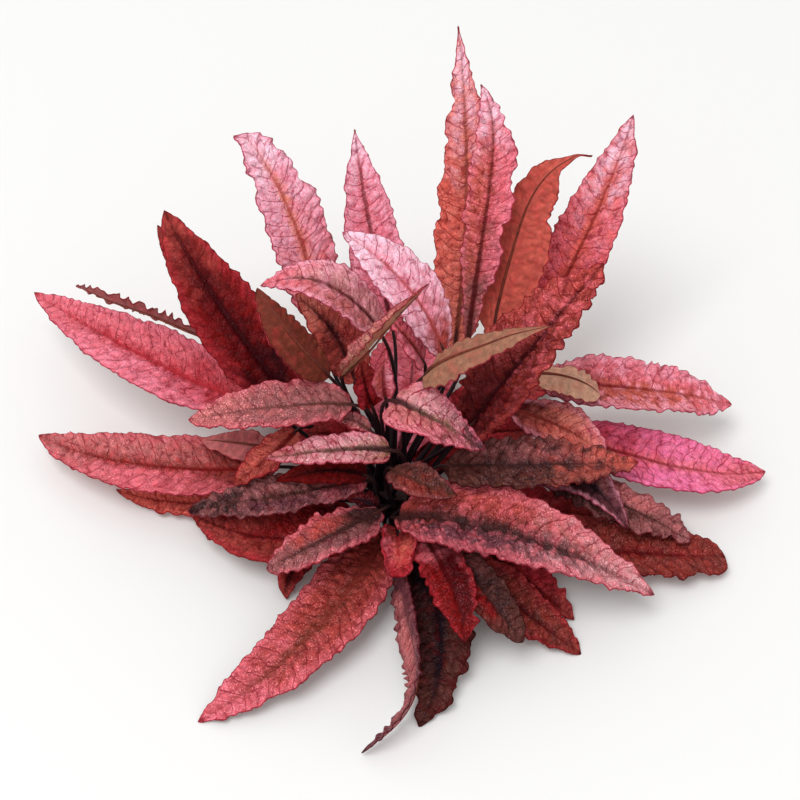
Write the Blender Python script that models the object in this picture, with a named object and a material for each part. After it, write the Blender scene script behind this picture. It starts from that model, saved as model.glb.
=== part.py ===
"""Cryptocoryne: a rosette of long leaves on a short crown that is cut off flat at the ground.

Lengths are in millimetres and angles in degrees, and the crown's axis is the Z axis. Every leaf is
one solid, a thin blade on its own stalk. A leaf is placed by a few points of its midrib, evenly
spaced from where the blade starts to its tip. Each point is a heading anticlockwise from +X, a
reach from the crown's axis and a height above the ground.
"""

import math
from typing import NamedTuple

import bmesh
import bpy
from mathutils import Quaternion, Vector

MM = 0.001

# Crown, straight up to its shoulder and narrowing from there to its top
CROWN_RADIUS = 5.5
CROWN_SHOULDER = 9.0
CROWN_TOP = 17.0
CROWN_TOP_RADIUS = 1.5
CROWN_SIDES = 24
MERGE_GAP = 0.001

# Leaf stalks, their root gap being the clearance around each stalk at the crown
STALK_RADIUS = 0.8
STALK_STEPS = 3
ROOT_GAP = 0.35
SPREADING_ROUNDS = 400

# Leaf blades, with the corners and the number of their cross sections, the first and last of
# which stand this share of the way along the blade
BLADE_THICKNESS = 0.7
BLADE_CORNERS = 8
BLADE_STEPS = 9
SMALL_BLADE_CORNERS = 4
SMALL_BLADE_STEPS = 8
FIRST_SECTION = 0.05
LAST_SECTION = 0.95
CURVE_STEP = 0.001

# Looks of all the pieces
ROUGHNESS = 0.45

# Whorls of stalks around the crown, from the outermost and lowest to the innermost:
# radius and height of their roots, and how steeply the stalks leave
WHORLS = (
    (CROWN_RADIUS + ROOT_GAP, 2.2, 6),
    (CROWN_RADIUS + ROOT_GAP, 5.2, 22),
    (CROWN_RADIUS + ROOT_GAP, 8.2, 38),
    (4.9, 11.6, 54),
    (3.5, 14.8, 68),
    (2.8, 17.8, 82),
)


class Leaf(NamedTuple):
    """One leaf. Taper is above 1 for a long thin tip, and rounding is small for a full, round base.
    Roll turns the blade about its midrib, at its start and at its tip, fold lifts both halves from
    the midrib, and curl bends their edges, all in degrees."""

    name: str
    whorl: int
    midrib: tuple
    half_width: float
    taper: float = 0.9
    rounding: float = 0.5
    roll: tuple = (0, 0)
    fold: float = 14
    curl: float = -10
    small: bool = False
    colour: str = "pink"


LEAVES = (
    # Tall leaves at the back
    Leaf("leaf_back_tallest", 3, ((64, 44, 32), (71, 69, 78), (79, 103, 114)), 9.5, 1.1, colour="salmon"),
    Leaf("leaf_back_second", 3, ((55, 40, 40), (60, 55, 80), (64, 68, 102), (71, 80, 112)), 7, 1.0, 0.8),
    Leaf("leaf_back_turned", 3, ((48, 46, 42), (52, 61, 72), (52, 73, 88), (46, 86, 98)), 12, 1.6,
         roll=(175, 200), fold=10, colour="olive"),
    Leaf("leaf_back_right", 2, ((46, 62, 26), (46, 90, 62), (49, 115, 90)), 11, 0.9),
    Leaf("leaf_back_middle", 3, ((91, 44, 36), (98, 64, 72), (99, 81, 90)), 9, 1.3),
    Leaf("leaf_back_left_pink", 3, ((119, 50, 38), (117, 64, 59), (119, 77, 79), (122, 91, 92)), 10, 0.75,
         colour="salmon"),
    Leaf("leaf_back_left_dark", 3, ((160, 32, 34), (148, 66, 61), (142, 91, 78)), 11.5, 0.9,
         roll=(-25, -25), fold=22, colour="red"),
    Leaf("leaf_back_left_red", 2, ((138, 50, 30), (141, 79, 51), (140, 99, 64)), 7, 0.9,
         roll=(-15, -15), colour="red"),
    # Low leaves at the back, which the taller ones hide
    Leaf("leaf_back_low_left", 0, ((134, 13, 4), (131, 45, 9), (129, 80, 0)), 12, colour="red"),
    Leaf("leaf_back_low_middle", 0, ((87, 13, 7), (83, 45, 12), (86, 80, 0)), 14.5, 0.7, 0.6,
         colour="red"),
    Leaf("leaf_back_low_right", 0, ((52, 13, 4), (48, 48, 9), (42, 84, 0)), 11, colour="red"),
    # Leaves at the right
    Leaf("leaf_right_broad", 4, ((352, 22, 42), (3, 41, 75), (17, 64, 93)), 14, 0.9, fold=26, colour="red"),
    Leaf("leaf_right_upper", 1, ((30, 54, 30), (17, 86, 28), (16, 115, 13)), 11.5, 0.8, colour="salmon"),
    Leaf("leaf_right_magenta", 0, ((19, 56, 15), (3, 91, 14), (4, 120, 7)), 11.5, 0.85),
    Leaf("leaf_right_low_red", 0, ((336, 46, 6), (343, 82, 7), (348, 106, 3)), 9.5, 0.5, colour="red"),
    Leaf("leaf_right_low_mauve", 0, ((2, 48, 12), (351, 74, 14), (348, 95, 8)), 8, 0.7, colour="brown"),
    Leaf("leaf_right_salmon", 2, ((24, 40, 29), (8, 56, 28), (2, 66, 21)), 9, 0.8, colour="salmon"),
    Leaf("leaf_right_tan_turned", 3, ((29, 46, 38), (19, 59, 40), (15, 67, 34)), 6.5, 0.5,
         roll=(170, 180), small=True, colour="olive"),
    Leaf("leaf_right_puckered", 2, ((328, 18, 33), (343, 42, 37), (358, 76, 26)), 10.5, 0.7, colour="brown"),
    Leaf("leaf_right_rimmed", 1, ((352, 32, 21), (352, 56, 26), (343, 75, 17)), 8, 0.8, colour="brown"),
    Leaf("leaf_right_shaded", 0, ((350, 12, 5), (353, 42, 5), (356, 72, 0)), 9.5, 0.8,
         small=True, colour="red"),
    Leaf("leaf_right_inner", 2, ((32, 24, 20), (24, 37, 19), (20, 51, 17)), 6, 0.8, small=True,
         colour="red"),
    # Leaves at the front
    Leaf("leaf_front_right_large", 2, ((273, 22, 23), (317, 49, 30), (331, 90, 13)), 14, 0.8, fold=24),
    Leaf("leaf_front_right_short", 0, ((322, 36, 5), (321, 56, 5), (321, 71, 1)), 7, 0.9,
         small=True, colour="red"),
    Leaf("leaf_front_right_red", 0, ((300, 26, 7), (311, 57, 6), (315, 80, 0)), 9, 0.8, colour="red"),
    Leaf("leaf_front_right_brown", 1, ((299, 36, 20), (299, 59, 22), (302, 72, 14)), 6.5, 0.7,
         small=True, colour="brown"),
    Leaf("leaf_front_red_edge", 1, ((287, 30, 22), (289, 54, 26), (288, 67, 18)), 7.5, 0.9, colour="red"),
    Leaf("leaf_front_dark", 0, ((284, 25, 8), (284, 58, 8), (275, 82, 0)), 9.5, 0.75, colour="brown"),
    Leaf("leaf_front_on_edge", 0, ((271, 28, 8), (275, 58, 15), (274, 78, 13), (264, 92, 2)), 7.5, 0.7,
         roll=(68, 80)),
    Leaf("leaf_front_left_large", 0, ((258, 17, 8), (246, 60, 10), (234, 99, 0)), 12, 0.8, colour="red"),
    Leaf("leaf_front_left_under", 0, ((222, 34, 6), (223, 44, 5), (228, 50, 1)), 4.5, 0.9,
         small=True, colour="red"),
    Leaf("leaf_front_left_small", 2, ((258, 22, 26), (237, 41, 28), (224, 54, 18)), 8, 0.7, small=True),
    # Leaves at the left
    Leaf("leaf_left_low_red", 0, ((222, 17, 12), (212, 42, 13), (186, 66, 6)), 11.5, 0.75, 0.4,
         colour="red"),
    Leaf("leaf_left_mauve", 2, ((224, 12, 24), (200, 35, 22), (191, 66, 14)), 8, 0.6, colour="brown"),
    Leaf("leaf_left_long", 1, ((174, 38, 15), (176, 81, 14), (169, 119, 8)), 12, 0.8, 0.45),
    Leaf("leaf_left_ground", 0, ((181, 34, 3), (181, 67, 3), (176, 91, 0)), 6, colour="red"),
    Leaf("leaf_left_upper", 1, ((155, 48, 25), (154, 92, 28), (149, 143, 22)), 13, 0.85),
    Leaf("leaf_left_on_edge", 1, ((143, 68, 32), (149, 98, 39), (149, 123, 36)), 3.8, 0.6,
         roll=(75, 80), colour="red"),
    Leaf("leaf_left_middle", 4, ((174, 13, 49), (178, 38, 48), (176, 64, 38)), 9.5, 0.75),
    Leaf("leaf_left_tan_small", 3, ((203, 8, 42), (184, 13, 44), (178, 19, 43)), 3, 0.8,
         small=True, colour="olive"),
    Leaf("leaf_left_small", 3, ((262, 10, 41), (208, 23, 42), (193, 41, 36)), 6.5, 0.8, 0.35, small=True),
    Leaf("leaf_left_turned_tan", 2, ((173, 41, 23), (172, 51, 23), (170, 63, 20)), 6, 0.8,
         roll=(170, 180), small=True, colour="olive"),
    Leaf("leaf_left_orange", 2, ((165, 32, 28), (183, 40, 27), (188, 51, 20)), 6, 0.8,
         small=True, colour="salmon"),
    Leaf("leaf_left_shaded", 2, ((228, 13, 28), (204, 22, 30), (193, 38, 24)), 6, 0.8,
         small=True, colour="red"),
    Leaf("leaf_left_inner", 3, ((168, 14, 29), (168, 21, 31), (168, 28, 30)), 6, 0.8,
         small=True, colour="red"),
    # Leaves in the middle
    Leaf("leaf_centre_pale", 5, ((41, 20, 60), (83, 20, 84), (117, 34, 94)), 10.5, 0.8),
    Leaf("leaf_centre_arching", 5, ((102, 18, 62), (132, 30, 80), (146, 49, 74)), 9, 0.8),
    Leaf("leaf_centre_turned", 4, ((155, 22, 53), (163, 33, 72), (153, 46, 80)), 7, 0.8,
         roll=(170, 190), colour="olive"),
    Leaf("leaf_centre_orange", 4, ((125, 22, 40), (126, 32, 54), (134, 44, 66)), 9, 0.8,
         small=True, colour="salmon"),
    Leaf("leaf_centre_folded", 5, ((157, 17, 57), (186, 6, 80), (34, 12, 97)), 4, 0.8,
         fold=60, small=True, colour="olive"),
    Leaf("leaf_centre_olive", 5, ((340, 9, 67), (350, 25, 82), (357, 46, 89)), 7.5, 1.2, 0.35,
         roll=(170, 190), colour="olive"),
    Leaf("leaf_centre_ovate", 4, ((270, 8, 62), (307, 18, 62), (331, 31, 48)), 10, 0.8, 0.35),
    Leaf("leaf_crown_small", 2, ((267, 14, 37), (290, 23, 40), (309, 30, 36)), 6, 0.8, small=True),
    # Young leaves around the crown
    Leaf("leaf_young_rolled", 1, ((272, 24, 17), (272, 34, 22), (272, 42, 20)), 9, 0.35, 0.4, fold=10,
         curl=90, small=True, colour="salmon"),
    Leaf("leaf_young_crumpled", 1, ((255, 18, 20), (244, 20, 26), (228, 22, 25)), 4, 0.8,
         small=True, colour="red"),
    Leaf("leaf_young_centre", 5, ((51, 14, 58), (64, 10, 70), (99, 13, 77)), 6, 0.8, small=True),
    Leaf("leaf_young_strip", 5, ((118, 6, 48), (119, 7, 58), (107, 9, 67)), 4, 0.8, fold=40, small=True),
    Leaf("leaf_young_red", 4, ((150, 8, 45), (148, 11, 54), (140, 13, 62)), 5.5, 0.8, fold=30,
         small=True, colour="red"),
)

COLOURS = {
    "pink": (0.52, 0.12, 0.18),
    "salmon": (0.55, 0.12, 0.10),
    "red": (0.24, 0.02, 0.03),
    "brown": (0.10, 0.04, 0.04),
    "olive": (0.24, 0.10, 0.06),
    "crown": (0.03, 0.01, 0.03),
}


def place(point):
    """The position of a (heading, reach, height) point."""
    heading, reach, height = point
    angle = math.radians(heading)
    return Vector((reach * math.cos(angle), reach * math.sin(angle), height))


def half_width_at(leaf, t):
    """Half the blade's width a share t of the way from its base to its tip."""
    widest = leaf.rounding / (leaf.rounding + leaf.taper)
    return leaf.half_width * (t / widest) ** leaf.rounding * ((1 - t) / (1 - widest)) ** leaf.taper


def midrib_point(leaf, t):
    """The midrib a share t of the way along the blade, on the one smooth curve through its points."""
    points = [place(point) for point in leaf.midrib]
    spans = len(points) - 1
    for level in range(1, spans + 1):
        points = [
            points[i].lerp(points[i + 1], (t * spans - i) / level) for i in range(len(points) - 1)
        ]
    return points[0]


def blade_curve(leaf, t):
    """Point and direction of the midrib a share t of the way along the blade."""
    ahead, behind = midrib_point(leaf, t + CURVE_STEP), midrib_point(leaf, t - CURVE_STEP)
    return midrib_point(leaf, t), (ahead - behind).normalized()


def stalk_curve(leaf, root, leaving, t):
    """Point and direction a share t of the way up the stalk."""
    end, along = blade_curve(leaf, 0)
    span = (end - root).length
    first, last = leaving * span, along * span
    point = (
        root * (2 * t**3 - 3 * t**2 + 1)
        + first * (t**3 - 2 * t**2 + t)
        + end * (3 * t**2 - 2 * t**3)
        + last * (t**3 - t**2)
    )
    direction = (
        root * (6 * t**2 - 6 * t)
        + first * (3 * t**2 - 4 * t + 1)
        + end * (6 * t - 6 * t**2)
        + last * (3 * t**2 - 2 * t)
    )
    return point, direction.normalized()


def blade_frame(leaf, t):
    """Point, direction, left and upward vectors of the blade a share t of the way along it."""
    point, along = blade_curve(leaf, t)
    chord = place(leaf.midrib[-1]) - place(leaf.midrib[0])
    left = Vector((-chord.y, chord.x, 0))
    left = (left - along * left.dot(along)).normalized()
    roll = leaf.roll[0] + (leaf.roll[1] - leaf.roll[0]) * t
    left.rotate(Quaternion(along, math.radians(roll)))
    return point, along, left, along.cross(left)


def across(leaf, share, half_width):
    """Sideways and upward distance from the midrib to a share of the half width."""
    start = math.radians(leaf.fold)
    change = math.radians(leaf.curl)
    end = start + change * share
    sideways = half_width / change * (math.sin(end) - math.sin(start))
    upward = half_width / change * (math.cos(start) - math.cos(end))
    return sideways, upward


def blade_section(leaf, t, corners):
    """The points around the blade a share t of the way along it, from its left edge over the top."""
    point, _, left, up = blade_frame(leaf, t)
    half_width = half_width_at(leaf, t)
    shares = [1 - 4 * k / corners for k in range(corners // 2 + 1)]
    ring = []
    for face, row in ((1, shares), (-1, shares[-2:0:-1])):
        for share in row:
            sideways, upward = across(leaf, abs(share), half_width)
            offset = face * BLADE_THICKNESS / 2 * (1 - share**2)
            ring.append(point + left * math.copysign(sideways, share) + up * (upward + offset))
    return ring


def stalk_section(point, left, up, corners):
    """The points around the stalk, in the same order as a blade section's."""
    return [
        point
        + (left * math.cos(2 * math.pi * k / corners) + up * math.sin(2 * math.pi * k / corners))
        * STALK_RADIUS
        for k in range(corners)
    ]


def leaf_rings(leaf, root, leaving):
    """The leaf's cross sections from the root of its stalk to just short of its tip."""
    corners = SMALL_BLADE_CORNERS if leaf.small else BLADE_CORNERS
    steps = SMALL_BLADE_STEPS if leaf.small else BLADE_STEPS
    _, _, left, up = blade_frame(leaf, 0)
    stalk = []
    for k in reversed(range(STALK_STEPS + 1)):
        point, along = stalk_curve(leaf, root, leaving, k / STALK_STEPS)
        left = (left - along * left.dot(along)).normalized()
        stalk.append(stalk_section(point, left, along.cross(left), corners))
    shares = [FIRST_SECTION + (LAST_SECTION - FIRST_SECTION) * k / (steps - 1) for k in range(steps)]
    return stalk[::-1] + [blade_section(leaf, t, corners) for t in shares]


def loft(mesh, rings, tip):
    """A closed skin through the rings, capped at its first ring and drawn to a point at the tip."""
    ring = bmesh.ops.create_circle(mesh, segments=len(rings[0]), radius=1, cap_ends=True)["verts"]
    for vertex, point in zip(ring, rings[0]):
        vertex.co = point * MM
    edges = list(ring[0].link_faces[0].edges)
    for points in rings[1:]:
        grown = bmesh.ops.extrude_edge_only(mesh, edges=edges)["geom"]
        edges = [item for item in grown if isinstance(item, bmesh.types.BMEdge)]
        edges = [edge for edge in edges if all(vertex not in ring for vertex in edge.verts)]
        above = {vertex for edge in edges for vertex in edge.verts}
        ring = [
            next(edge.other_vert(vertex) for edge in vertex.link_edges if edge.other_vert(vertex) in above)
            for vertex in ring
        ]
        for vertex, point in zip(ring, points):
            vertex.co = point * MM
    cap = bmesh.ops.edgeloop_fill(mesh, edges=edges)["faces"]
    peak = bmesh.ops.poke(mesh, faces=cap)["verts"][0]
    peak.co = tip * MM
    bmesh.ops.recalc_face_normals(mesh, faces=mesh.faces)
    if mesh.calc_volume(signed=True) < 0:
        bmesh.ops.reverse_faces(mesh, faces=mesh.faces)


def make_material(name, colour):
    made = bpy.data.materials.new(name)
    made.use_nodes = True
    shader = made.node_tree.nodes["Principled BSDF"]
    shader.inputs["Base Color"].default_value = (*COLOURS[colour], 1)
    shader.inputs["Roughness"].default_value = ROUGHNESS
    shader.inputs["Metallic"].default_value = 0
    return made


def add_object(name, mesh, colour):
    data = bpy.data.meshes.new(name)
    mesh.to_mesh(data)
    mesh.free()
    data.materials.append(make_material(f"{name}_{colour}", colour))
    data.shade_smooth()
    made = bpy.data.objects.new(name, data)
    bpy.context.scene.collection.objects.link(made)


def make_leaf(leaf, root_heading):
    radius, height, steepness = WHORLS[leaf.whorl]
    root = place((root_heading, radius, height))
    level = math.cos(math.radians(steepness))
    leaving = place((root_heading, level, math.sin(math.radians(steepness))))
    mesh = bmesh.new()
    loft(mesh, leaf_rings(leaf, root, leaving), place(leaf.midrib[-1]))
    add_object(leaf.name, mesh, leaf.colour)


def root_headings(whorl):
    """The heading of each leaf's root: the leaf's own, moved aside where two stalks would touch."""
    leaves = sorted((leaf for leaf in LEAVES if leaf.whorl == whorl), key=lambda leaf: leaf.midrib[0][0])
    headings = [leaf.midrib[0][0] for leaf in leaves]
    least = math.degrees((2 * STALK_RADIUS + ROOT_GAP) / WHORLS[whorl][0])
    for _ in range(SPREADING_ROUNDS):
        for k in range(len(leaves)):
            between = (headings[k] - headings[k - 1]) % 360
            short = max(0, least - between)
            headings[k - 1] -= short / 2
            headings[k] += short / 2
    return {leaf.name: heading for leaf, heading in zip(leaves, headings)}


def make_crown():
    """The short stem: a flat cut below, straight sides and a narrowing top."""
    mesh = bmesh.new()
    profile = (
        (0, 0),
        (CROWN_RADIUS, 0),
        (CROWN_RADIUS, CROWN_SHOULDER),
        (CROWN_TOP_RADIUS, CROWN_TOP),
        (0, CROWN_TOP),
    )
    points = [mesh.verts.new((x * MM, 0, z * MM)) for x, z in profile]
    edges = [mesh.edges.new(pair) for pair in zip(points, points[1:])]
    bmesh.ops.spin(
        mesh,
        geom=points + edges,
        axis=(0, 0, 1),
        cent=(0, 0, 0),
        angle=2 * math.pi,
        steps=CROWN_SIDES,
        use_merge=True,
    )
    bmesh.ops.remove_doubles(mesh, verts=mesh.verts, dist=MERGE_GAP * MM)
    bmesh.ops.recalc_face_normals(mesh, faces=mesh.faces)
    add_object("crown", mesh, "crown")


def main():
    for old in list(bpy.data.objects):
        bpy.data.objects.remove(old)
    make_crown()
    roots = {}
    for whorl in range(len(WHORLS)):
        roots.update(root_headings(whorl))
    for leaf in LEAVES:
        make_leaf(leaf, roots[leaf.name])


main()
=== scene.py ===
"""Looks of a cryptocoryne: a rosette of long ruffled leaves on a short crown, cut off flat below.

Every CAD leaf is replaced by a fine one on the same midrib and stalk, with its veins, puckers and
ruffled edge. Sizes are in millimetres and degrees, and the meshes are in metres.
"""

import math
from typing import NamedTuple

import bmesh
import bpy
from bpy.props import FloatProperty, FloatVectorProperty, PointerProperty
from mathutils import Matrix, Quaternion, Vector, noise


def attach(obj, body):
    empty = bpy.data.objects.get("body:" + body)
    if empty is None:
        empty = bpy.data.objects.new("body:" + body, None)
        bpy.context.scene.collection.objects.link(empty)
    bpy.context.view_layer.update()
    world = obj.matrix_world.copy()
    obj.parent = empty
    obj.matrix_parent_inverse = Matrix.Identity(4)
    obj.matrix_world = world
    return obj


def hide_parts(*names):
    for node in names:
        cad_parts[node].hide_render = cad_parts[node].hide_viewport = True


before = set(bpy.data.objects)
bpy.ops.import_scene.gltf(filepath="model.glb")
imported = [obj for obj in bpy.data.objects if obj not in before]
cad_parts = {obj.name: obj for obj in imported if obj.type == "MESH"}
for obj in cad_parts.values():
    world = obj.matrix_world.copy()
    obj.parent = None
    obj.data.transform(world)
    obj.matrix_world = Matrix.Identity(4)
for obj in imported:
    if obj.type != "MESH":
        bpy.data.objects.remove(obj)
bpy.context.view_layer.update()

bl_info = {
    "name": "Cryptocoryne",
    "version": (1, 0, 0),
    "blender": (4, 5, 0),
    "location": "3D View > Sidebar > Cryptocoryne",
    "description": "Makes the leaves, the crown and the stage of a cryptocoryne",
    "category": "Object",
}

MM = 0.001

# Crown, straight up to its shoulder and narrowing from there to its top
CROWN_RADIUS = 5.5
CROWN_SHOULDER = 9.0
CROWN_TOP = 17.0
CROWN_TOP_RADIUS = 1.5
CROWN_DOME = 0.4
CROWN_SIDES = 72
CROWN_RINGS = 60
CUT_CORNER = 0.5
CUT_CORNER_DEPTH = 0.25
SCAR_SPACING = 2.1
SCAR_DEPTH = 0.3
LUMP_SIZE = 2.5
LUMP_HEIGHT = 0.35
LUMP_START = 2

# Leaf stalks, their root gap being the clearance around each stalk at the crown in the CAD
STALK_RADIUS = 0.8
STALK_SIDES = 10
STALK_STEPS = 22
ROOT_GAP = 0.35
ROOT_DEPTH = 2.0
ROOT_SWELLING = 0.35
ROOT_SWELLING_END = 0.15
SPREADING_ROUNDS = 400
STREAK_LENGTH = 30

# Midribs, which go on under the blade from the stalk and thin towards the tip
MIDRIB_RADIUS = 0.55
MIDRIB_END_RADIUS = 0.12
MIDRIB_END = 0.94
MIDRIB_SINKING = 0.1
MIDRIB_STEPS = 40

# Meshes of the blades, with the lowest places of their upper sides and of the rods under them
CURVE_STEP = 0.001
LENGTH_STEPS = 60
LEAST_COLUMNS = 8
LEAST_ROWS = 16
EDGE_CROWDING = 0.2
LOWEST = 0.45
LOWEST_ROD = 0.02
MERGE_GAP = 0.0001
SEED_STEP = 17.3
BLADE_LAYERS = ("across", "along", "veins", "cushion", "margin")

# Side veins: on narrow leaves they are closer, by the half width, and those of the two halves
# leave the midrib by turns
VEIN_SPACING_LEAST = 2.2
VEIN_SPACING_GROWTH = 0.22
VEIN_SLANT = 0.35
VEIN_BEND = 0.03
VEIN_WANDER = 0.5
VEIN_WANDER_SIZE = 7
VEIN_STAGGER = 0.25

# Puckers: a bulge between each two side veins and smaller cushions within it, lower at the edge
CUSHION_SIZE = 3.2
CUSHIONS_PER_VEIN = 1.6
CUSHION_RIM = 0.5
BULGE_SHARE = 0.3
BULGE_POWER = 0.6
CUSHION_SHARE = 0.7
PUCKER_MIDDLE = 0.5
PUCKER_START = 1.6
PUCKER_FADING = 0.7
PUCKER_FADING_START = 0.75

# Ruffles and ripples close to the edge, slow waves of the whole blade, the groove over its midrib
# and the start of the hook at its tip
FULL_HALF_WIDTH = 4
RUFFLE_POWER = 2.5
RUFFLE_STRENGTH = 0.7
RIPPLE_HEIGHT = 0.35
RIPPLE_RATE = 2.3
SAG_HEIGHT = 0.7
SAG_WIDTH = 12
SAG_LENGTH = 16
SAG_SHIFT = 80
GROOVE_WIDTH = 0.7
GROOVE_DEPTH = 0.35
HOOK_START = 0.9

# Stage: the point that the light and the camera are aimed at, and the sensor's width, are in
# millimetres, and the rest is in metres
AIM = (1.6, 0, 53)
KEY_SIZE = 1
KEY_PLACE = (-0.5, -0.6, 2)
SENSOR_WIDTH = 36
NEAREST = 0.01

# Whorls of stalks around the crown, from the outermost and lowest to the innermost:
# radius and height of their roots, and how steeply the stalks leave
WHORLS = (
    (CROWN_RADIUS + ROOT_GAP, 2.2, 6),
    (CROWN_RADIUS + ROOT_GAP, 5.2, 22),
    (CROWN_RADIUS + ROOT_GAP, 8.2, 38),
    (4.9, 11.6, 54),
    (3.5, 14.8, 68),
    (2.8, 17.8, 82),
)

# Colours that the leaves are mixed from, as they look in daylight
PALETTE = {
    "blush": ((252, 196, 214), "Palest pink, on the newest tall leaves"),
    "pink": ((247, 162, 182), "Clear pink, on leaves in full light"),
    "carnation": ((242, 130, 150), "Strong pink"),
    "magenta": ((242, 118, 162), "Magenta, on the leaf that turns to the light"),
    "rose": ((224, 108, 120), "Rose, the commonest colour of a grown leaf"),
    "salmon": ((234, 134, 118), "Salmon, on the lower half of tall leaves"),
    "coral": ((220, 102, 90), "Orange red"),
    "terracotta": ((194, 90, 78), "Brownish orange red"),
    "madder": ((168, 66, 60), "Brownish red in middle light"),
    "crimson": ((180, 46, 56), "Clear dark red"),
    "brick": ((138, 50, 42), "Dark brownish red"),
    "blood": ((120, 14, 14), "Pure deep red, on leaves that stand against the light"),
    "wine": ((80, 6, 10), "Deep red, on leaves that shade each other"),
    "garnet": ((48, 3, 9), "Nearly black red, on veins"),
    "mauve": ((218, 150, 154), "Pale greyish pink"),
    "antique": ((194, 108, 108), "Dusty pink, on the leaves in the middle"),
    "dusk": ((150, 88, 88), "Greyish red brown"),
    "plum": ((106, 54, 62), "Purplish brown"),
    "umber": ((90, 48, 41), "Dark brown, on the oldest leaves"),
    "bark": ((60, 31, 30), "Nearly black brown"),
    "olive": ((158, 110, 88), "Olive brown"),
    "clay": ((120, 56, 42), "Reddish brown, on undersides and midribs"),
    "tan": ((204, 156, 130), "Pale olive brown, on undersides"),
    "ink": ((27, 12, 22), "Nearly black purple, on the crown"),
}


class Look(NamedTuple):
    """Colours of a leaf: its left and right halves seen from its stalk, along its midrib, near its
    stalk, at its tip, of its patches and its underside, at its margins and of the midrib itself.
    On some leaves one half, or the part near the stalk, has a darker colour as painted shade where
    the leaf lies in shade.
    Base reach is how far the colour near the stalk goes, groove is a share of the midrib's usual
    width, and patchiness, speckles and vein strength go from 0 to 1."""

    left: str
    right: str
    core: str
    base: str
    tip: str
    patches: str
    below: str
    edge: str
    midrib: str = "blood"
    base_reach: float = 0.35
    core_width: float = 0.3
    patchiness: float = 0.5
    speckles: float = 0.6
    vein_strength: float = 0.8
    groove: float = 1


def look(colours, **shares):
    """A look from the names of its colours, in the order of a look's fields."""
    return Look(*colours.split(), **shares)


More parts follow.
